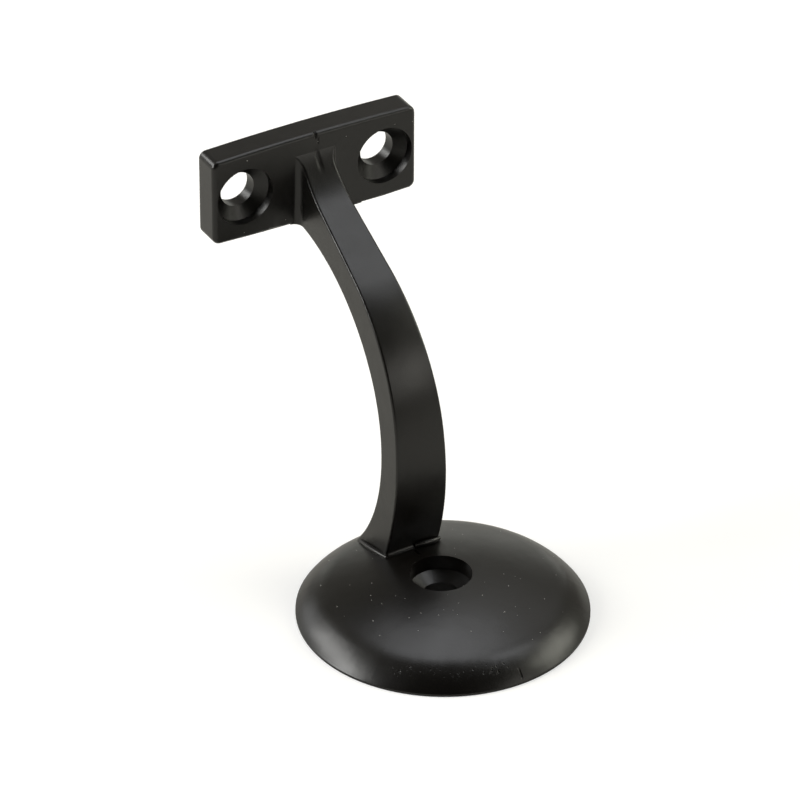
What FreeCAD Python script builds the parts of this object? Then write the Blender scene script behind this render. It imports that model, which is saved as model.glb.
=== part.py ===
"""Handrail bracket: one casting with a domed wall rosette, a curved tapered arm and a rail plate.

Millimetres. The wall is the XY plane and +Z points away from it. +Y is up in use and X runs along
the rail. The origin is on the axis of the wall screw hole, at the wall.
"""
import FreeCAD, Part
import math
import os
import Sketcher

SIZES = {
    # rosette: a lens-shaped dome that sits on the wall
    "rosette_diameter": 60.0,
    "rosette_height": 8.8,
    "crown_radius": 83.0,
    "shoulder_radius": 12.8,
    "rim_band": 0.5,
    "rosette_drop": 0.8,
    # hollow in the wall side of the rosette, round the screw boss
    "hollow_depth": 3.4,
    "hollow_mouth_diameter": 51.0,
    "hollow_roof_diameter": 43.0,
    "screw_boss_diameter": 19.0,
    # screw seats: one counterbore, cone and bore for all three holes
    "screw_bore": 7.6,
    "seat_bore": 12.7,
    "seat_cone_angle": 117.0,
    "wall_seat_out": 5.2,
    "rail_seat_depth": 1.9,
    "rail_screw_spacing": 32.4,
    # rail plate
    "reach": 75.6,
    "rise": 57.6,
    "plate_length": 47.0,
    "plate_end_width": 19.1,
    "plate_bow": 0.5,
    "plate_thickness": 6.3,
    "plate_corner": 1.6,
    "plate_front_round": 0.9,
    "plate_back_round": 0.5,
    # arm, front and back curves in the side view; the shares are of the reach
    "belly_up": 7.98,
    "belly_depth": 6.85,
    "belly_out_share": 0.373,
    "front_lower_share": 0.7275,
    "front_upper_share": 0.5198,
    "front_join_share": 0.4854,
    "throat_share": 0.336,
    "throat_turn": 29.0,
    "throat_above_reach": 5.9,
    "back_lower_share": 0.4563,
    "back_upper_share": 0.5423,
    "back_join_share": 0.6243,
    # arm, taper and edges
    "arm_foot_width": 12.95,
    "arm_head_width": 7.3,
    "arm_edge_round": 0.5,
    "flank_lean_up": 1.16,
    "foot_bead": 0.8,
    "head_blend": 1.9,
}
SHEET = "Sizes"
HEAD_ROOT = 1.5  # how far the arm's top curve runs on into the plate
FOOT_ROOT = 2.5  # height above the wall at which the arm starts, inside the dome
BLEND_DIVE = 0.1  # how far the round into the plate's face ends below that face
SPARE = 1.0  # how far a cutting outline runs past what it cuts
ON_PLANE = 0.001


def make_sheet(doc):
    """Writes the driving dimensions as plain numbers with aliases, and returns them."""
    sheet = doc.addObject("Spreadsheet::Sheet", SHEET)
    for row, (alias, value) in enumerate(SIZES.items(), start=1):
        sheet.set("A%d" % row, alias)
        sheet.set("B%d" % row, str(value))
        sheet.setAlias("B%d" % row, alias)
    doc.recompute()
    return {alias: float(sheet.get(alias)) for alias in SIZES}


def vec(point):
    return FreeCAD.Vector(point[0], point[1], 0)


def polar(centre, radius, angle):
    """The point at an angle in degrees on a circle."""
    turn = math.radians(angle)
    return (centre[0] + radius * math.cos(turn), centre[1] + radius * math.sin(turn))


def new_sketch(body, name, role, offset=None):
    """A sketch on one of the body's origin planes, moved along that plane's normal by an expression."""
    sketch = body.newObject("Sketcher::SketchObject", name)
    plane = next(f for f in body.Origin.OriginFeatures if f.Role == role)
    sketch.AttachmentSupport = [(plane, "")]
    sketch.MapMode = "FlatFace"
    if offset:
        sketch.setExpression(".AttachmentOffset.Base.z", offset)
    return sketch


def dimension(sketch, name, expression, kind, *where):
    """Adds one dimension to a sketch and binds it to the sheet."""
    index = sketch.addConstraint(Sketcher.Constraint(kind, *where))
    sketch.renameConstraint(index, name)
    sketch.setExpression("Constraints." + name, expression)


class Outline:
    """A closed outline drawn point to point in a sketch, with its ends tied together."""

    def __init__(self, sketch, start):
        self.sketch = sketch
        self.start = start
        self.here = start
        self.first = None
        self.last = None

    def _tie(self, geometry, begin, end):
        index = self.sketch.addGeometry(geometry, False)
        if self.last:
            self.sketch.addConstraint(Sketcher.Constraint("Coincident", *self.last, index, begin))
        else:
            self.first = (index, begin)
        self.last = (index, end)
        return index

    def line(self, to):
        index = self._tie(Part.LineSegment(vec(self.here), vec(to)), 1, 2)
        self.here = to
        return index

    def arc(self, to, centre, left=True):
        """An arc to a point, with its centre on the left or the right of the way there."""
        begin, end = (self.here, to) if left else (to, self.here)
        angles = [math.atan2(p[1] - centre[1], p[0] - centre[0]) for p in (begin, end)]
        circle = Part.Circle(vec(centre), FreeCAD.Vector(0, 0, 1), math.dist(centre, to))
        piece = Part.ArcOfCircle(circle, *angles)
        index = self._tie(piece, *((1, 2) if left else (2, 1)))
        self.here = to
        return index

    def close(self):
        self.line(self.start)
        self.sketch.addConstraint(Sketcher.Constraint("Coincident", *self.last, *self.first))


def dome_arcs(s):
    """Centre of the crown arc, centre of the shoulder arc, and the point where they touch."""
    crown = (0.0, s["rosette_height"] - s["crown_radius"])
    rim = (s["rosette_diameter"] / 2, s["rim_band"])
    inner = s["crown_radius"] - s["shoulder_radius"]
    gap = math.dist(crown, rim)
    along = (inner**2 - s["shoulder_radius"] ** 2 + gap**2) / (2 * gap)
    aside = math.sqrt(inner**2 - along**2)
    unit = ((rim[0] - crown[0]) / gap, (rim[1] - crown[1]) / gap)
    shoulder = (crown[0] + along * unit[0] - aside * unit[1], crown[1] + along * unit[1] + aside * unit[0])
    angle = math.degrees(math.atan2(shoulder[1] - crown[1], shoulder[0] - crown[0]))
    return crown, shoulder, polar(crown, s["crown_radius"], angle)


def add_rosette(body, s):
    """The dome, turned about an axis that lies just below the wall screw's."""
    sketch = new_sketch(body, "rosette_section", "XZ_Plane", SHEET + ".rosette_drop")
    rim = s["rosette_diameter"] / 2
    crown, shoulder, touch = dome_arcs(s)
    section = Outline(sketch, (0.0, 0.0))
    base = section.line((rim, 0.0))
    band = section.line((rim, s["rim_band"]))
    round_over = section.arc(touch, shoulder)
    top = section.arc((0.0, s["rosette_height"]), crown)
    section.close()
    dimension(sketch, "rim_radius", SHEET + ".rosette_diameter / 2", "DistanceX", base, 1, base, 2, rim)
    dimension(sketch, "rim_band", SHEET + ".rim_band", "DistanceY", band, 1, band, 2, s["rim_band"])
    dimension(sketch, "shoulder", SHEET + ".shoulder_radius", "Radius", round_over, s["shoulder_radius"])
    dimension(sketch, "crown", SHEET + ".crown_radius", "Radius", top, s["crown_radius"])
    dome = body.newObject("PartDesign::Revolution", "rosette")
    dome.Profile = sketch
    dome.ReferenceAxis = (sketch, ["V_Axis"])
    dome.Angle = 360
    return dome


def front_rise(s, high, upper, throat):
    """The straight stretch and the throat arc that lead from the upper arc to the plate's front face.

    The slope is the one at which the throat, after its full turn, ends on that face at its height.
    """
    end = (s["rise"] - s["plate_thickness"], s["reach"] + s["throat_above_reach"])
    flat, steep = 0.0, 60.0
    while steep - flat > ON_PLANE:
        slope = (flat + steep) / 2
        start = polar(high, upper, 90 + slope)
        centre = polar(end, throat, 90 + slope + s["throat_turn"])
        stop = polar(centre, throat, slope - 90)
        climb = math.tan(math.radians(slope)) * (stop[0] - start[0])
        if start[1] + climb < stop[1]:
            flat = slope
        else:
            steep = slope
    return start, stop, centre


def arm_points(s):
    """Corners and arc centres of the arm's side view, as (up, out)."""
    face = s["rise"] - s["plate_thickness"]
    front_lower, front_upper, throat, back_lower, back_upper, belly_out, front_join, back_join = (
        s["reach"] * s[name + "_share"]
        for name in (
            "front_lower",
            "front_upper",
            "throat",
            "back_lower",
            "back_upper",
            "belly_out",
            "front_join",
            "back_join",
        )
    )
    p = {}
    low = (s["belly_up"] + front_lower, belly_out)
    turn = math.degrees(math.asin((front_join - low[1]) / front_lower))
    p["low"] = low
    p["join"] = polar(low, front_lower, 180 - turn)
    p["high"] = polar(p["join"], front_upper, -turn)
    p["rise_start"], p["rise_end"], p["throat"] = front_rise(s, p["high"], front_upper, throat)
    p["front_foot"] = (low[0] - math.sqrt(front_lower**2 - (FOOT_ROOT - low[1]) ** 2), FOOT_ROOT)
    inside = face + HEAD_ROOT - p["throat"][0]
    p["throat_root"] = (face + HEAD_ROOT, p["throat"][1] - math.sqrt(throat**2 - inside**2))
    # back curve
    back = (s["belly_up"] + s["belly_depth"] + back_lower, belly_out)
    turn = math.degrees(math.asin((back_join - back[1]) / back_lower))
    p["back_low"] = back
    p["back_join"] = polar(back, back_lower, 180 - turn)
    p["back_high"] = polar(p["back_join"], back_upper, -turn)
    p["back_top"] = (p["back_high"][0], p["back_high"][1] + back_upper)
    p["back_foot"] = (back[0] - math.sqrt(back_lower**2 - (FOOT_ROOT - back[1]) ** 2), FOOT_ROOT)
    return p


def plan_outline(sketch, s, height):
    """The arm's plan outline at a height: flanks that draw in, and a hollow round into the plate's face."""
    p = arm_points(s)
    face = s["rise"] - s["plate_thickness"]
    radius = s["head_blend"]
    lean = math.radians(s["flank_lean_up"])
    rise = math.tan(lean)
    climb = (s["arm_foot_width"] - s["arm_head_width"]) / 2 - rise * (face - p["front_foot"][0])
    foot = s["arm_foot_width"] / 2 - climb * (height - FOOT_ROOT) / (s["reach"] - FOOT_ROOT)

    def flank(up):
        return foot - rise * (up - p["front_foot"][0])

    start, stop = s["belly_up"] - SPARE, face + HEAD_ROOT
    centre_up = face + BLEND_DIVE - radius
    centre = flank(centre_up) + radius / math.cos(lean)
    touch = (centre - radius * math.cos(lean), centre_up - radius * math.sin(lean))
    plan = Outline(sketch, (-flank(start), start))
    plan.line((flank(start), start))
    plan.line(touch)
    blend = plan.arc((centre, centre_up + radius), (centre, centre_up), left=False)
    plan.line((centre, stop))
    plan.line((-centre, stop))
    plan.line((-centre, centre_up + radius))
    plan.arc((-touch[0], touch[1]), (-centre, centre_up), left=False)
    plan.close()
    dimension(sketch, "head_blend", SHEET + ".head_blend", "Radius", blend, radius)


def add_arm(body, s):
    """The arm: a block between two plan outlines, cut to its side view, with its long edges rounded."""
    low = new_sketch(body, "arm_plan_low", "XY_Plane", "%g" % (FOOT_ROOT - SPARE))
    plan_outline(low, s, FOOT_ROOT - SPARE)
    top = s["reach"] + s["throat_above_reach"] + 2 * SPARE
    high = new_sketch(body, "arm_plan_high", "XY_Plane", "%s.reach + %s.throat_above_reach + %g" % (SHEET, SHEET, 2 * SPARE))
    plan_outline(high, s, top)
    block = body.newObject("PartDesign::AdditiveLoft", "arm_block")
    block.Profile = low
    block.Sections = [high]
    block.Ruled = True
    body.Document.recompute()

    sketch = new_sketch(body, "arm_side_view", "YZ_Plane")
    p = arm_points(s)
    tuck = (s["rise"] - s["plate_back_round"], s["reach"] - s["plate_end_width"] / 2)
    view = Outline(sketch, p["front_foot"])
    lower = view.arc(p["join"], p["low"], left=False)
    upper = view.arc(p["rise_start"], p["high"], left=False)
    view.line(p["rise_end"])
    throat = view.arc(p["throat_root"], p["throat"])
    view.line(tuck)
    view.line(p["back_top"])
    back_upper = view.arc(p["back_join"], p["back_high"])
    back_lower = view.arc(p["back_foot"], p["back_low"])
    view.close()
    for index, name in (
        (lower, "front_lower"),
        (upper, "front_upper"),
        (throat, "throat"),
        (back_upper, "back_upper"),
        (back_lower, "back_lower"),
    ):
        share = name + "_share"
        dimension(sketch, name, "%s.reach * %s.%s" % (SHEET, SHEET, share), "Radius", index, s["reach"] * s[share])
    around = Outline(sketch, (s["belly_up"] - 3 * SPARE, FOOT_ROOT - 3 * SPARE))
    around.line((s["rise"] + 3 * SPARE, FOOT_ROOT - 3 * SPARE))
    around.line((s["rise"] + 3 * SPARE, top + 3 * SPARE))
    around.line((s["belly_up"] - 3 * SPARE, top + 3 * SPARE))
    around.close()
    cut = body.newObject("PartDesign::Pocket", "arm_trim")
    cut.Profile = sketch
    cut.Type = "ThroughAll"
    cut.SideType = "Symmetric"
    body.Document.recompute()
    rounds = body.newObject("PartDesign::Fillet", "arm_edges")
    rounds.Base = (cut, [n for n, e in named_edges(cut) if is_arm_corner(e, s)])
    rounds.setExpression("Radius", SHEET + ".arm_edge_round")
    body.Document.recompute()
    return rounds


def named_edges(feature):
    return [("Edge%d" % i, e) for i, e in enumerate(feature.Shape.Edges, start=1)]


def middle(edge):
    return edge.valueAt((edge.FirstParameter + edge.LastParameter) / 2)


def is_arm_corner(edge, s):
    """A long edge of the arm, between a flank and the front or the back curve."""
    point = middle(edge)
    at_foot = point.z < FOOT_ROOT + ON_PLANE
    in_plate = point.y > s["rise"] - s["plate_thickness"] and point.z > s["reach"] - s["plate_end_width"] / 2
    return abs(point.x) > 1 and not at_foot and not in_plate


def add_plate(body, s):
    """The rail plate: long edges bowed outwards, rounded corners, rounded front and back edges."""
    sketch = new_sketch(body, "plate_outline", "XZ_Plane", "-(%s.rise - %s.plate_thickness)" % (SHEET, SHEET))
    half = s["plate_length"] / 2
    end = s["plate_end_width"] / 2
    bow_radius = (half**2 + s["plate_bow"] ** 2) / (2 * s["plate_bow"])
    top, bottom = s["reach"] + end, s["reach"] - end
    outline = Outline(sketch, (-half, bottom))
    low = outline.arc((half, bottom), (0.0, bottom - s["plate_bow"] + bow_radius))
    side = outline.line((half, top))
    outline.arc((-half, top), (0.0, top + s["plate_bow"] - bow_radius))
    outline.close()
    dimension(sketch, "length", SHEET + ".plate_length", "DistanceX", low, 1, low, 2, s["plate_length"])
    dimension(sketch, "end_width", SHEET + ".plate_end_width", "DistanceY", side, 1, side, 2, 2 * end)
    plate = body.newObject("PartDesign::Pad", "rail_plate")
    plate.Profile = sketch
    plate.Reversed = True
    plate.setExpression("Length", SHEET + ".plate_thickness")
    body.Document.recompute()
    return plate


def fillet(body, name, base, edges, alias):
    """Rounds the named edges of a feature with a radius from the sheet."""
    rounds = body.newObject("PartDesign::Fillet", name)
    rounds.Base = (base, edges)
    rounds.setExpression("Radius", SHEET + "." + alias)
    body.Document.recompute()
    return rounds


def lies_on(edge, height_of):
    """True if five points spread along an edge all give the same height, close to zero."""
    span = edge.LastParameter - edge.FirstParameter
    points = [edge.valueAt(edge.FirstParameter + span * k / 4) for k in range(5)]
    return all(abs(height_of(point)) < ON_PLANE for point in points)


def round_plate(body, plate, s):
    """Rounds the plate's four corners, then its back and front edges."""
    face, seat = s["rise"] - s["plate_thickness"], s["rise"]
    half = s["plate_length"] / 2

    def is_corner(edge):
        return lies_on(edge, lambda p: abs(p.x) - half) and abs(middle(edge).y - (face + seat) / 2) < ON_PLANE

    def is_rim(edge, up):
        return lies_on(edge, lambda p: p.y - up)

    corners = fillet(body, "plate_corners", plate, [n for n, e in named_edges(plate) if is_corner(e)], "plate_corner")
    edges = [n for n, e in named_edges(corners) if is_rim(e, seat)]
    back = fillet(body, "plate_back_edge", corners, edges, "plate_back_round")
    edges = [n for n, e in named_edges(back) if is_rim(e, face)]
    return fillet(body, "plate_front_edge", back, edges, "plate_front_round")


def round_foot(body, base, s):
    """The bead where the arm grows out of the dome."""
    crown, shoulder, touch = dome_arcs(s)

    def above_dome(point):
        out = math.hypot(point.x, point.y + s["rosette_drop"])
        centre, radius = (crown, s["crown_radius"]) if out < touch[0] else (shoulder, s["shoulder_radius"])
        return math.dist((out, point.z), centre) - radius

    def is_foot(edge):
        point = middle(edge)
        beside = abs(point.x) < s["arm_foot_width"] / 2 and 0 < point.y < s["rosette_diameter"] / 2
        return beside and point.z < s["rosette_height"] and lies_on(edge, above_dome)

    return fillet(body, "foot_bead", base, [n for n, e in named_edges(base) if is_foot(e)], "foot_bead")


def add_screw_hole(body, name, role, offset, centres, seat_depth):
    """Holes with a counterbore, a cone and a through bore, drilled from a plane along its normal."""
    sketch = new_sketch(body, name + "_centres", role, offset)
    for centre, (across, up) in centres.items():
        index = sketch.addGeometry(Part.Circle(vec((0, 0)), FreeCAD.Vector(0, 0, 1), 1), False)
        for kind, expression in (("DistanceX", across), ("DistanceY", up)):
            dimension(sketch, "%s_%s" % (centre, kind), expression, kind, -1, 1, index, 3, 1.0)
    body.Document.recompute()
    hole = body.newObject("PartDesign::Hole", name)
    hole.Profile = sketch
    hole.Threaded = False
    hole.setExpression("Diameter", SHEET + ".screw_bore")
    hole.DepthType = "ThroughAll"
    hole.HoleCutType = "Counterdrill"
    hole.HoleCutCustomValues = True
    hole.setExpression("HoleCutDiameter", SHEET + ".seat_bore")
    hole.setExpression("HoleCutDepth", seat_depth)
    hole.setExpression("HoleCutCountersinkAngle", SHEET + ".seat_cone_angle")
    body.Document.recompute()
    return hole


def add_hollow(body, s):
    """The ring-shaped hollow in the wall side of the dome."""
    sketch = new_sketch(body, "hollow_section", "XZ_Plane", SHEET + ".rosette_drop")
    boss = s["screw_boss_diameter"] / 2
    mouth, roof = s["hollow_mouth_diameter"] / 2, s["hollow_roof_diameter"] / 2
    lean = (mouth - roof) / s["hollow_depth"]
    section = Outline(sketch, (boss, -SPARE))
    section.line((mouth + lean * SPARE, -SPARE))
    section.line((roof, s["hollow_depth"]))
    top = section.line((boss, s["hollow_depth"]))
    section.close()
    dimension(sketch, "roof", SHEET + ".hollow_depth", "DistanceY", -1, 1, top, 1, s["hollow_depth"])
    hollow = body.newObject("PartDesign::Groove", "hollow")
    hollow.Profile = sketch
    hollow.ReferenceAxis = (sketch, ["V_Axis"])
    hollow.Angle = 360
    body.Document.recompute()
    return hollow


def check(doc):
    """Stops if any object of the document failed to build."""
    failed = [o.Name for o in doc.Objects if "Invalid" in o.State or "Error" in o.State]
    if failed:
        raise RuntimeError("these objects failed: " + ", ".join(failed))


def check_removed(before, after):
    """Stops if a cut took nothing away."""
    if not after.Shape.Volume < before.Shape.Volume - ON_PLANE:
        raise RuntimeError(after.Name + " cuts nothing")


def build():
    doc = FreeCAD.newDocument("handrail_bracket")
    s = make_sheet(doc)
    body = doc.addObject("PartDesign::Body", "bracket")
    body.Label = "bracket"
    add_arm(body, s)
    rosette = add_rosette(body, s)
    doc.recompute()
    round_foot(body, rosette, s)
    plate_body = doc.addObject("PartDesign::Body", "rail_plate_body")
    round_plate(plate_body, add_plate(plate_body, s), s)
    joined = body.newObject("PartDesign::Boolean", "joined_plate")
    joined.Type = "Fuse"
    joined.setObjects([plate_body])
    doc.recompute()
    spacing = SHEET + ".rail_screw_spacing / 2"
    wall_hole = add_screw_hole(
        body,
        "wall_screw_hole",
        "XY_Plane",
        SHEET + ".rosette_height",
        {"centre": ("0", "0")},
        "%s.rosette_height - %s.wall_seat_out" % (SHEET, SHEET),
    )
    check_removed(joined, wall_hole)
    rail_holes = add_screw_hole(
        body,
        "rail_screw_holes",
        "XZ_Plane",
        "-(%s.rise - %s.plate_thickness)" % (SHEET, SHEET),
        {"left": ("-" + spacing, SHEET + ".reach"), "right": (spacing, SHEET + ".reach")},
        SHEET + ".rail_seat_depth",
    )
    check_removed(wall_hole, rail_holes)
    hollow = add_hollow(body, s)
    check_removed(rail_holes, hollow)
    body.Placement = FreeCAD.Placement()
    doc.recompute()
    check(doc)
    if body.Shape.isNull() or not body.Shape.isValid() or len(body.Shape.Solids) != 1:
        raise RuntimeError("the bracket isn't one sound solid")
    os.makedirs("parts", exist_ok=True)
    body.Shape.exportStep(os.path.join("parts", body.Label + ".step"))
    print("volume %.1f mm3, box %s" % (body.Shape.Volume, body.Shape.BoundBox))
    return doc


build()
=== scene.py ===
"""Looks of the handrail bracket: one satin black powder-coated casting on a pale floor.

Metres. The bracket stands on its rosette. +Z points away from the wall face and +Y towards the rail.
"""

import math

import bmesh
import bpy
from mathutils import Matrix, Vector


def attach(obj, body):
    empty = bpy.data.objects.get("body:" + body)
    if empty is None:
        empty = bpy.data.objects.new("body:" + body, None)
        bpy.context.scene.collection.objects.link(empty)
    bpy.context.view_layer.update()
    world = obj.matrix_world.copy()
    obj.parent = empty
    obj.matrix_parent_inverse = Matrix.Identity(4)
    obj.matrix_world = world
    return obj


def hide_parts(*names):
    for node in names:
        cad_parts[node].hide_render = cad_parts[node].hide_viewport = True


MM = 0.001

# camera: direction and roll in degrees, lens and sensor in millimetres, distance, and what it aims at
AZIMUTH = -30.13
ELEVATION = 33.36
ROLL = 0.2
LENS = 270.0
SENSOR = 36.0
DISTANCE = 1.2097
AIM = (0.0, 0.0192, 0.045)
AIM_OFFSET = (-1.15 * MM, -4.49 * MM)  # how far right of and below the view's axis the aim point lies

# powder coat: dark warm black, with fine grain and faint waves as bump
COAT_COLOUR = (0.0022, 0.0016, 0.0011, 1.0)
COAT_ROUGHNESS = 0.32
COAT_ROUGHNESS_SPREAD = 0.06
COAT_SPECULAR = 0.5
GRAIN_SIZE = 0.35 * MM
GRAIN_HEIGHT = 0.012 * MM
GRAIN_DETAIL = 3.0
WAVE_SIZE = 4.5 * MM
WAVE_HEIGHT = 0.045 * MM

# smoothing of the casting: what counts as one point, as a sharp edge in degrees, and the pull of broad faces
MERGE_DISTANCE = 1e-6
SMOOTH_ANGLE = 24.0
FACE_WEIGHT = 90

# dents near the mould's parting plane, in millimetres: centre, half sizes, soft rim, share of the full depth
# and of the painted shade
DENTS = (
    ((0.15, 51.4, 85.1), (0.15, 0.5, 0.5), (0.3, 0.4, 0.5), 1.0),
    ((0.65, 51.3, 83.8), (0.1, 0.4, 0.5), (0.25, 0.4, 0.5), 0.7),
    ((0.2, 50.3, 80.2), (0.1, 0.8, 0.9), (0.7, 1.6, 2.0), 0.4),
    ((-0.3, 9.2, 8.2), (0.1, 0.8, 0.5), (0.25, 0.6, 0.4), 0.9),
    ((1.07, -29.7, 1.9), (0.08, 0.5, 0.6), (0.2, 0.4, 0.5), 0.8),
)
DENT_DEPTH = 0.15 * MM
DENT_PAINTED_SHADE = 0.7  # share of the specular level that a full dent or pit loses, a painted shade that darkens them

# pits in the coat on the rosette's shoulder: where, written as a dent is, and which noise levels are pits
PIT_BAND = ((-12.0, -24.0, 3.4), (9.0, 6.0, 0.5), (5.0, 2.0, 0.5), 0.25)
PIT_SIZE = 0.6 * MM
PIT_EDGE = 0.62
PIT_FLOOR = 0.74

# crown across the arm's front: fall from the middle line per square of the width, and where, as a dent is
CROWN = 6.0
CROWN_AREA = ((0.0, 20.0, 40.0), (8.0, 60.0, 20.0), (2.0, 5.0, 10.0), 1.0)

# proud beads of metal where the arm meets the rosette, in millimetres: path and radius
BEADS = (
    ("bead_left", ((-6.45, 22.0, 5.55), (-6.7, 18.5, 6.4), (-6.7, 14.5, 7.3), (-6.35, 11.1, 7.85)), 0.6),
    ("bead_right", ((0.3, 11.15, 8.6), (2.5, 11.1, 8.55), (4.7, 11.15, 8.4), (6.35, 11.5, 8.2)), 0.62),
)
BEAD_END = 0.6  # share of the radius at both ends
BEAD_ROUND_STEPS = 5
BEAD_PATH_STEPS = 10

# dust: noise levels with their colours, size of a patch of one colour, and the specks' radius and size range
DUST_SHADES = ((0.35, (0.35, 0.34, 0.32, 1.0)), (0.65, (0.65, 0.64, 0.61, 1.0)))
DUST_PATCH = 3.0 * MM
DUST_ROUGHNESS = 0.9
SPECK_RADIUS = 0.085 * MM
SPECK_LEAST = (0.5, 0.4, 0.3)
SPECK_MOST = (1.8, 1.3, 0.8)

# where specks lie: grains per square metre, on faces that look this way to this cosine, and height limits
DOME_FRONT = (0.0, 0.0, 1.0)
PLATE_FRONT = (0.0, -1.0, 0.0)
SPECKS = (
    ("dome_specks", dict(density=24000.0, direction=DOME_FRONT, facing=0.85, highest=9.0 * MM, seed=4)),
    ("plate_specks", dict(density=16000.0, direction=PLATE_FRONT, facing=0.98, lowest=66.0 * MM, seed=7)),
)

# softboxes: name, azimuth and elevation seen from the bracket in degrees, width, height, watts, colour
LAMP_DISTANCE = 1.5
LAMP_TARGET = (0.0, 0.02, 0.04)
LAMPS = (
    ("left_back", 141, 30, 1.0, 0.7, 14.0, (1.0, 1.0, 0.98)),
    ("right", -19, 28, 0.9, 0.7, 8.6, (1.0, 1.0, 0.88)),
    ("top", 60, 70, 0.8, 0.8, 5.5, (0.94, 0.96, 1.0)),
    ("top_right", -14, 62, 0.45, 0.5, 2.5, (0.95, 0.97, 1.0)),
    ("right_back", 35, 44, 0.9, 0.6, 0.9, (1.0, 1.0, 0.96)),
    ("back_low", 60, 8, 1.4, 0.4, 1.7, (0.98, 1.0, 0.94)),
    ("left_low", 112, 13, 0.6, 0.5, 1.4, (0.96, 0.98, 1.0)),
    ("left_strip", 166, 22, 0.35, 0.6, 8.0, (1.0, 1.0, 0.98)),
    ("front_right_low", -63, 19, 0.5, 0.5, 2.0, (1.0, 0.97, 0.9)),
)

# the room round them, and its unlit side behind the camera: azimuth and elevation, cosines of the angles from
# there at which the room starts to darken and is darkest, and the share of light left
ROOM = (0.2, 0.188, 0.16, 1.0)
WHITE = (1.0, 1.0, 1.0, 1.0)
DARK_SIDE = (-120, 38)
DARK_SIDE_EDGE = 0.3
DARK_SIDE_CORE = 0.92
DARK_SIDE_LEFT = 0.06

# floor
FLOOR_SIZE = 8.0
FLOOR_COLOUR = (0.655, 0.64, 0.6, 1.0)
FLOOR_LIFT = 0.44  # light added for the camera alone
FLOOR_LIFT_COLOUR = (0.93, 0.95, 1.0, 1.0)
FLOOR_BELOW = 0.05 * MM  # keeps the floor clear of the wall face


def principled(name):
    """A new material and its Principled node."""
    material = bpy.data.materials.new(name)
    material.use_nodes = True
    return material, material.node_tree.nodes["Principled BSDF"]


def math_node(nodes, links, operation, *values):
    """A Math node fed by sockets or numbers; returns its output."""
    node = nodes.new("ShaderNodeMath")
    node.operation = operation
    for socket, value in zip(node.inputs, values):
        if isinstance(value, bpy.types.NodeSocket):
            links.new(value, socket)
        else:
            socket.default_value = value
    return node.outputs[0]


def vector_node(nodes, links, operation, first, second=None):
    """A Vector Math node fed by a socket and a socket or numbers."""
    node = nodes.new("ShaderNodeVectorMath")
    node.operation = operation
    links.new(first, node.inputs[0])
    if isinstance(second, bpy.types.NodeSocket):
        links.new(second, node.inputs[1])
    elif second is not None:
        node.inputs[1].default_value = second
    return node


def range_node(nodes, links, value, start, end, start_value=0.0, end_value=1.0, smooth=False):
    """A value mapped from one range to another and held at its ends."""
    node = nodes.new("ShaderNodeMapRange")
    if smooth:
        node.interpolation_type = "SMOOTHSTEP"
    links.new(value, node.inputs["Value"])
    node.inputs["From Min"].default_value = start
    node.inputs["From Max"].default_value = end
    node.inputs["To Min"].default_value = start_value
    node.inputs["To Max"].default_value = end_value
    return node.outputs[0]


def split_node(nodes, links, vector):
    """The X, Y and Z of a vector."""
    node = nodes.new("ShaderNodeSeparateXYZ")
    links.new(vector, node.inputs[0])
    return node.outputs


def aim(azimuth, elevation):
    """The direction at an azimuth and elevation in degrees."""
    turn, lift = math.radians(azimuth), math.radians(elevation)
    return Vector((math.cos(turn) * math.cos(lift), math.sin(turn) * math.cos(lift), math.sin(lift)))


def soft_mark(nodes, links, place, centre, half, soft, share):
    """A share inside a box of half sizes round a centre, fading to 0 over a soft rim; millimetres."""
    shift = vector_node(nodes, links, "SUBTRACT", place, [value * MM for value in centre])
    away = vector_node(nodes, links, "ABSOLUTE", shift.outputs[0])
    inside = share
    for axis, reach, rim in zip(split_node(nodes, links, away.outputs[0]), half, soft):
        fade = range_node(nodes, links, axis, reach * MM, (reach + rim) * MM, 1.0, 0.0, smooth=True)
        inside = math_node(nodes, links, "MULTIPLY", inside, fade)
    return inside


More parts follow.
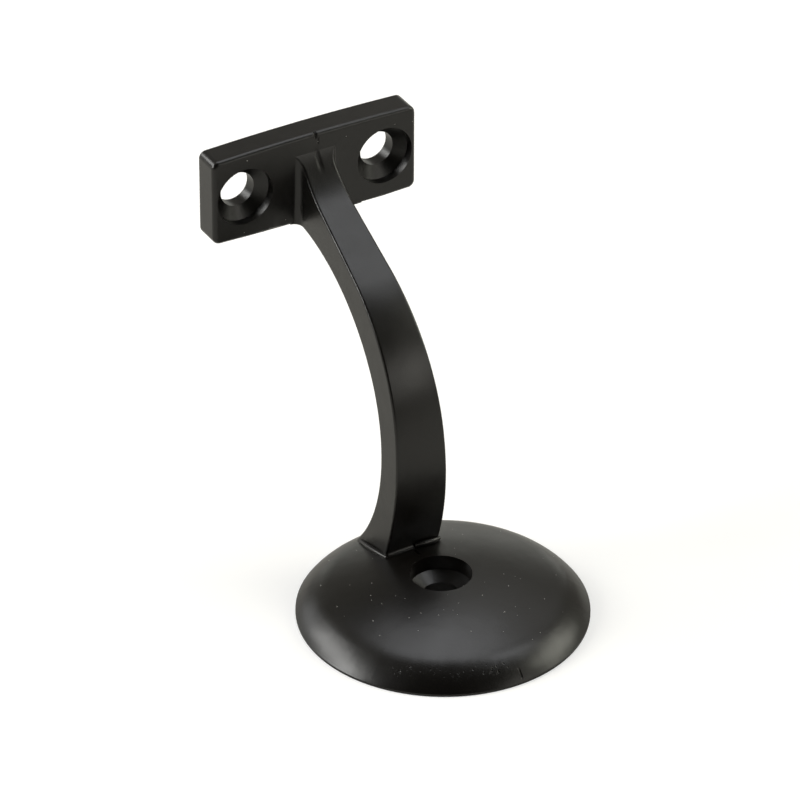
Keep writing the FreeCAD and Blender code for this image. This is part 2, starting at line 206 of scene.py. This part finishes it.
def powder_coat():
    """Satin black powder coat: grain, waves, pits, the arm's crown and dents that the mould left; painted
    shade darkens the dents and pits.
    """
    material, shader = principled("casting_coat")
    nodes, links = material.node_tree.nodes, material.node_tree.links
    place = nodes.new("ShaderNodeTexCoord").outputs["Object"]

    def combine(operation, *values):
        return math_node(nodes, links, operation, *values)

    def mark(area):
        return soft_mark(nodes, links, place, *area)

    def noise(size, detail=1.0):
        texture = nodes.new("ShaderNodeTexNoise")
        texture.inputs["Scale"].default_value = 1 / size
        texture.inputs["Detail"].default_value = detail
        links.new(place, texture.inputs["Vector"])
        return texture.outputs["Fac"]

    def bump(height, distance, normal=None):
        node = nodes.new("ShaderNodeBump")
        node.inputs["Distance"].default_value = distance
        links.new(height, node.inputs["Height"])
        if normal:
            links.new(normal, node.inputs["Normal"])
        return node.outputs["Normal"]

    grain = noise(GRAIN_SIZE, GRAIN_DETAIL)
    waves = noise(WAVE_SIZE)
    normal = bump(waves, WAVE_HEIGHT, bump(grain, GRAIN_HEIGHT))

    pitted = range_node(nodes, links, noise(PIT_SIZE), PIT_EDGE, PIT_FLOOR)
    dents = combine("MULTIPLY", pitted, mark(PIT_BAND))
    for dent in DENTS:
        dents = combine("MAXIMUM", dents, mark(dent))
    normal = bump(combine("MULTIPLY", dents, -1.0), DENT_DEPTH, normal)

    across = split_node(nodes, links, place)["X"]
    fall = combine("MULTIPLY", combine("MULTIPLY", across, across), -CROWN)
    normal = bump(combine("MULTIPLY", fall, mark(CROWN_AREA)), 1.0, normal)
    links.new(normal, shader.inputs["Normal"])

    # painted shade: a lower specular level in the dents and pits makes them darker
    gloss_less_painted_shade = combine("MULTIPLY_ADD", dents, -COAT_SPECULAR * DENT_PAINTED_SHADE, COAT_SPECULAR)
    links.new(gloss_less_painted_shade, shader.inputs["Specular IOR Level"])
    least = COAT_ROUGHNESS - COAT_ROUGHNESS_SPREAD / 2
    links.new(combine("MULTIPLY_ADD", waves, COAT_ROUGHNESS_SPREAD, least), shader.inputs["Roughness"])
    shader.inputs["Base Color"].default_value = COAT_COLOUR
    return material


def speck_material():
    """Pale dust, some grains greyer than others."""
    material, shader = principled("dust")
    nodes, links = material.node_tree.nodes, material.node_tree.links
    patches = nodes.new("ShaderNodeTexNoise")
    patches.inputs["Scale"].default_value = 1 / DUST_PATCH
    links.new(nodes.new("ShaderNodeTexCoord").outputs["Object"], patches.inputs["Vector"])
    shades = nodes.new("ShaderNodeValToRGB")
    for stop, (level, colour) in zip(shades.color_ramp.elements, DUST_SHADES):
        stop.position = level
        stop.color = colour
    links.new(patches.outputs["Fac"], shades.inputs[0])
    links.new(shades.outputs["Color"], shader.inputs["Base Color"])
    shader.inputs["Roughness"].default_value = DUST_ROUGHNESS
    return material


def scatter_sockets(interface):
    """The scatter tree's sockets; an input without a value of its own gets one for each mesh of specks."""
    for kind, inputs in (
        ("NodeSocketGeometry", {"Geometry": None}),
        ("NodeSocketFloat", {"Density": None, "Radius": SPECK_RADIUS}),
        ("NodeSocketFloat", {"Facing": None, "Lowest": 0.0, "Highest": 1.0}),
        ("NodeSocketVector", {"Direction": None}),
        ("NodeSocketInt", {"Seed": None}),
    ):
        for name, value in inputs.items():
            socket = interface.new_socket(name, in_out="INPUT", socket_type=kind)
            if value is not None:
                socket.default_value = value
    interface.new_socket("Geometry", in_out="OUTPUT", socket_type="NodeSocketGeometry")


def chosen_faces(nodes, links, given):
    """1 on the faces that look the given way between the given heights, 0 on the others."""
    normal = nodes.new("GeometryNodeInputNormal").outputs[0]
    facing = vector_node(nodes, links, "DOT_PRODUCT", normal, given["Direction"]).outputs["Value"]
    height = split_node(nodes, links, nodes.new("GeometryNodeInputPosition").outputs[0])["Z"]
    chosen = math_node(nodes, links, "GREATER_THAN", facing, given["Facing"])
    for operation, limit in (("GREATER_THAN", "Lowest"), ("LESS_THAN", "Highest")):
        within = math_node(nodes, links, operation, height, given[limit])
        chosen = math_node(nodes, links, "MULTIPLY", chosen, within)
    return chosen


def scatter_tree(material):
    """Geometry Nodes: small grains scattered over the faces that look one way, between two heights."""
    tree = bpy.data.node_groups.new("scatter_specks", "GeometryNodeTree")
    scatter_sockets(tree.interface)
    nodes, links = tree.nodes, tree.links
    given = nodes.new("NodeGroupInput").outputs
    out = nodes.new("NodeGroupOutput")

    scatter = nodes.new("GeometryNodeDistributePointsOnFaces")
    links.new(given["Geometry"], scatter.inputs["Mesh"])
    links.new(chosen_faces(nodes, links, given), scatter.inputs["Selection"])
    links.new(given["Density"], scatter.inputs["Density"])
    links.new(given["Seed"], scatter.inputs["Seed"])
    grain = nodes.new("GeometryNodeMeshIcoSphere")
    grain.inputs["Subdivisions"].default_value = 1
    links.new(given["Radius"], grain.inputs["Radius"])
    size = nodes.new("FunctionNodeRandomValue")
    size.data_type = "FLOAT_VECTOR"
    size.inputs["Min"].default_value = SPECK_LEAST
    size.inputs["Max"].default_value = SPECK_MOST
    links.new(given["Seed"], size.inputs["Seed"])
    place = nodes.new("GeometryNodeInstanceOnPoints")
    links.new(scatter.outputs["Points"], place.inputs["Points"])
    links.new(scatter.outputs["Rotation"], place.inputs["Rotation"])
    links.new(grain.outputs["Mesh"], place.inputs["Instance"])
    links.new(size.outputs["Value"], place.inputs["Scale"])
    real = nodes.new("GeometryNodeRealizeInstances")
    links.new(place.outputs[0], real.inputs[0])
    paint = nodes.new("GeometryNodeSetMaterial")
    links.new(real.outputs[0], paint.inputs[0])
    paint.inputs["Material"].default_value = material
    links.new(paint.outputs[0], out.inputs[0])
    return tree


def as_mesh(source, name):
    """A new mesh of what an object looks like with its modifiers and bevel."""
    bpy.context.view_layer.update()
    mesh = bpy.data.meshes.new_from_object(source.evaluated_get(bpy.context.evaluated_depsgraph_get()))
    mesh.name = name
    return mesh


def new_object(name, data):
    """A new object in the scene."""
    made = bpy.data.objects.new(name, data)
    bpy.context.scene.collection.objects.link(made)
    return made


def add_specks(name, source, tree, **settings):
    """A mesh of grains on a source mesh, made by the scatter tree."""
    piece = new_object(name, source.data)
    scatter = piece.modifiers.new("scatter", "NODES")
    scatter.node_group = tree
    for item in tree.interface.items_tree:
        key = item.name.lower()
        if item.in_out == "INPUT" and key in settings:
            scatter[item.identifier] = settings[key]
    made = as_mesh(piece, name)
    piece.modifiers.clear()
    piece.data = made
    return piece


def smooth_copy(source, name, material):
    """A copy of a CAD mesh with its vertices merged, its broad faces flat and its rounds smooth."""
    mesh = source.data.copy()
    mesh.name = name
    mesh.materials.clear()
    mesh.materials.append(material)
    piece = new_object(name, mesh)
    work = bmesh.new()
    work.from_mesh(mesh)
    bmesh.ops.remove_doubles(work, verts=work.verts, dist=MERGE_DISTANCE)
    for face in work.faces:
        face.smooth = True
    for edge in work.edges:
        edge.smooth = edge.calc_face_angle(0.0) < math.radians(SMOOTH_ANGLE)
    work.to_mesh(mesh)
    work.free()
    weigh = piece.modifiers.new("weighted_normals", "WEIGHTED_NORMAL")
    weigh.keep_sharp = True
    weigh.weight = FACE_WEIGHT
    return piece


def add_bead(name, path, radius, material):
    """A bead of metal along a path: a round section that thins out at both ends."""
    curve = bpy.data.curves.new(name, "CURVE")
    curve.dimensions = "3D"
    curve.bevel_depth = radius * MM
    curve.bevel_resolution = BEAD_ROUND_STEPS
    curve.resolution_u = BEAD_PATH_STEPS
    line = curve.splines.new("BEZIER")
    line.bezier_points.add(len(path) - 1)
    for number, (point, place) in enumerate(zip(line.bezier_points, path)):
        point.co = [value * MM for value in place]
        point.handle_left_type = point.handle_right_type = "AUTO"
        point.radius = BEAD_END if number in (0, len(path) - 1) else 1.0
    curve.use_fill_caps = True
    holder = new_object(name, curve)
    mesh = as_mesh(holder, name)
    bpy.data.objects.remove(holder)
    mesh.materials.clear()
    mesh.materials.append(material)
    for face in mesh.polygons:
        face.use_smooth = True
    return new_object(name, mesh)


def add_lamp(name, azimuth, elevation, width, height, watts, colour):
    """A softbox that faces the bracket."""
    data = bpy.data.lights.new(name, "AREA")
    data.shape = "RECTANGLE"
    data.size, data.size_y = width, height
    data.energy = watts
    data.color = colour
    away = aim(azimuth, elevation)
    lamp = new_object(name, data)
    lamp.location = Vector(LAMP_TARGET) + LAMP_DISTANCE * away
    lamp.rotation_mode = "QUATERNION"
    lamp.rotation_quaternion = (-away).to_track_quat("-Z", "Y")


def add_camera():
    """The camera, turned by its azimuth, elevation and roll round the aim point."""
    turn, lift, roll = (math.radians(v) for v in (AZIMUTH, ELEVATION, ROLL))
    forward = Vector((-math.sin(turn) * math.cos(lift), math.cos(turn) * math.cos(lift), -math.sin(lift)))
    right = Vector((math.cos(turn), math.sin(turn), 0.0))
    up = right.cross(forward)
    across = math.cos(roll) * right + math.sin(roll) * up
    upright = -math.sin(roll) * right + math.cos(roll) * up
    data = bpy.data.cameras.new("camera")
    data.lens = LENS
    data.sensor_width = SENSOR
    camera = new_object("camera", data)
    place = Vector(AIM) - DISTANCE * forward - AIM_OFFSET[0] * across + AIM_OFFSET[1] * upright
    turned = Matrix((across, upright, -forward)).transposed()
    camera.matrix_world = Matrix.Translation(place) @ turned.to_4x4()
    bpy.context.scene.camera = camera


def add_floor():
    """A pale floor: lifted to white for the camera, with the bracket's shadow kept faint."""
    bpy.ops.mesh.primitive_plane_add(size=FLOOR_SIZE, location=(0, 0, -FLOOR_BELOW))
    floor = bpy.context.object
    floor.name = "floor"
    material = bpy.data.materials.new("floor_white")
    material.use_nodes = True
    nodes, links = material.node_tree.nodes, material.node_tree.links
    nodes.clear()
    out = nodes.new("ShaderNodeOutputMaterial")
    glow = nodes.new("ShaderNodeEmission")
    matt = nodes.new("ShaderNodeBsdfDiffuse")
    matt.inputs["Color"].default_value = FLOOR_COLOUR
    ray = nodes.new("ShaderNodeLightPath")
    glow.inputs["Color"].default_value = FLOOR_LIFT_COLOUR
    lift = math_node(nodes, links, "MULTIPLY", ray.outputs["Is Camera Ray"], FLOOR_LIFT)
    links.new(lift, glow.inputs["Strength"])
    both = nodes.new("ShaderNodeAddShader")
    links.new(matt.outputs[0], both.inputs[0])
    links.new(glow.outputs[0], both.inputs[1])
    links.new(both.outputs[0], out.inputs["Surface"])
    floor.data.materials.append(material)


def add_world():
    """Dim studio surroundings with one dark side, white to the camera."""
    world = bpy.data.worlds.new("studio")
    bpy.context.scene.world = world
    world.use_nodes = True
    nodes, links = world.node_tree.nodes, world.node_tree.links
    ground = nodes["Background"]
    ground.inputs["Color"].default_value = ROOM
    direction = nodes.new("ShaderNodeTexCoord").outputs["Generated"]
    toward = vector_node(nodes, links, "DOT_PRODUCT", direction, aim(*DARK_SIDE)).outputs["Value"]
    fade = range_node(
        nodes, links, toward, DARK_SIDE_EDGE, DARK_SIDE_CORE, 1.0, DARK_SIDE_LEFT, smooth=True
    )
    links.new(fade, ground.inputs["Strength"])
    white = nodes.new("ShaderNodeBackground")
    white.inputs["Color"].default_value = WHITE
    ray = nodes.new("ShaderNodeLightPath")
    mix = nodes.new("ShaderNodeMixShader")
    links.new(ray.outputs["Is Camera Ray"], mix.inputs[0])
    links.new(ground.outputs[0], mix.inputs[1])
    links.new(white.outputs[0], mix.inputs[2])
    links.new(mix.outputs[0], nodes["World Output"].inputs["Surface"])


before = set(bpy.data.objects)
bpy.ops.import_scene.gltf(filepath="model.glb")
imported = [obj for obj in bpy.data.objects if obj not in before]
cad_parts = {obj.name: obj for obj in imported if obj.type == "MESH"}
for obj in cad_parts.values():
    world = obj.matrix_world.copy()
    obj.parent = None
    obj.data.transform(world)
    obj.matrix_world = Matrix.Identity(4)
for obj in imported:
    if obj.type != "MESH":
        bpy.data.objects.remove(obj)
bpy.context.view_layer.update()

coat = powder_coat()
casting = smooth_copy(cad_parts["bracket"], "casting", coat)
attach(casting, "root")
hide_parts("bracket")

for name, path, radius in BEADS:
    bead = add_bead(name, path, radius, coat)
    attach(bead, "root")

scatter = scatter_tree(speck_material())
for name, settings in SPECKS:
    specks = add_specks(name, casting, scatter, **settings)
    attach(specks, "root")

add_floor()
add_world()
for lamp in LAMPS:
    add_lamp(*lamp)
add_camera()

bpy.context.scene.view_settings.view_transform = "Standard"
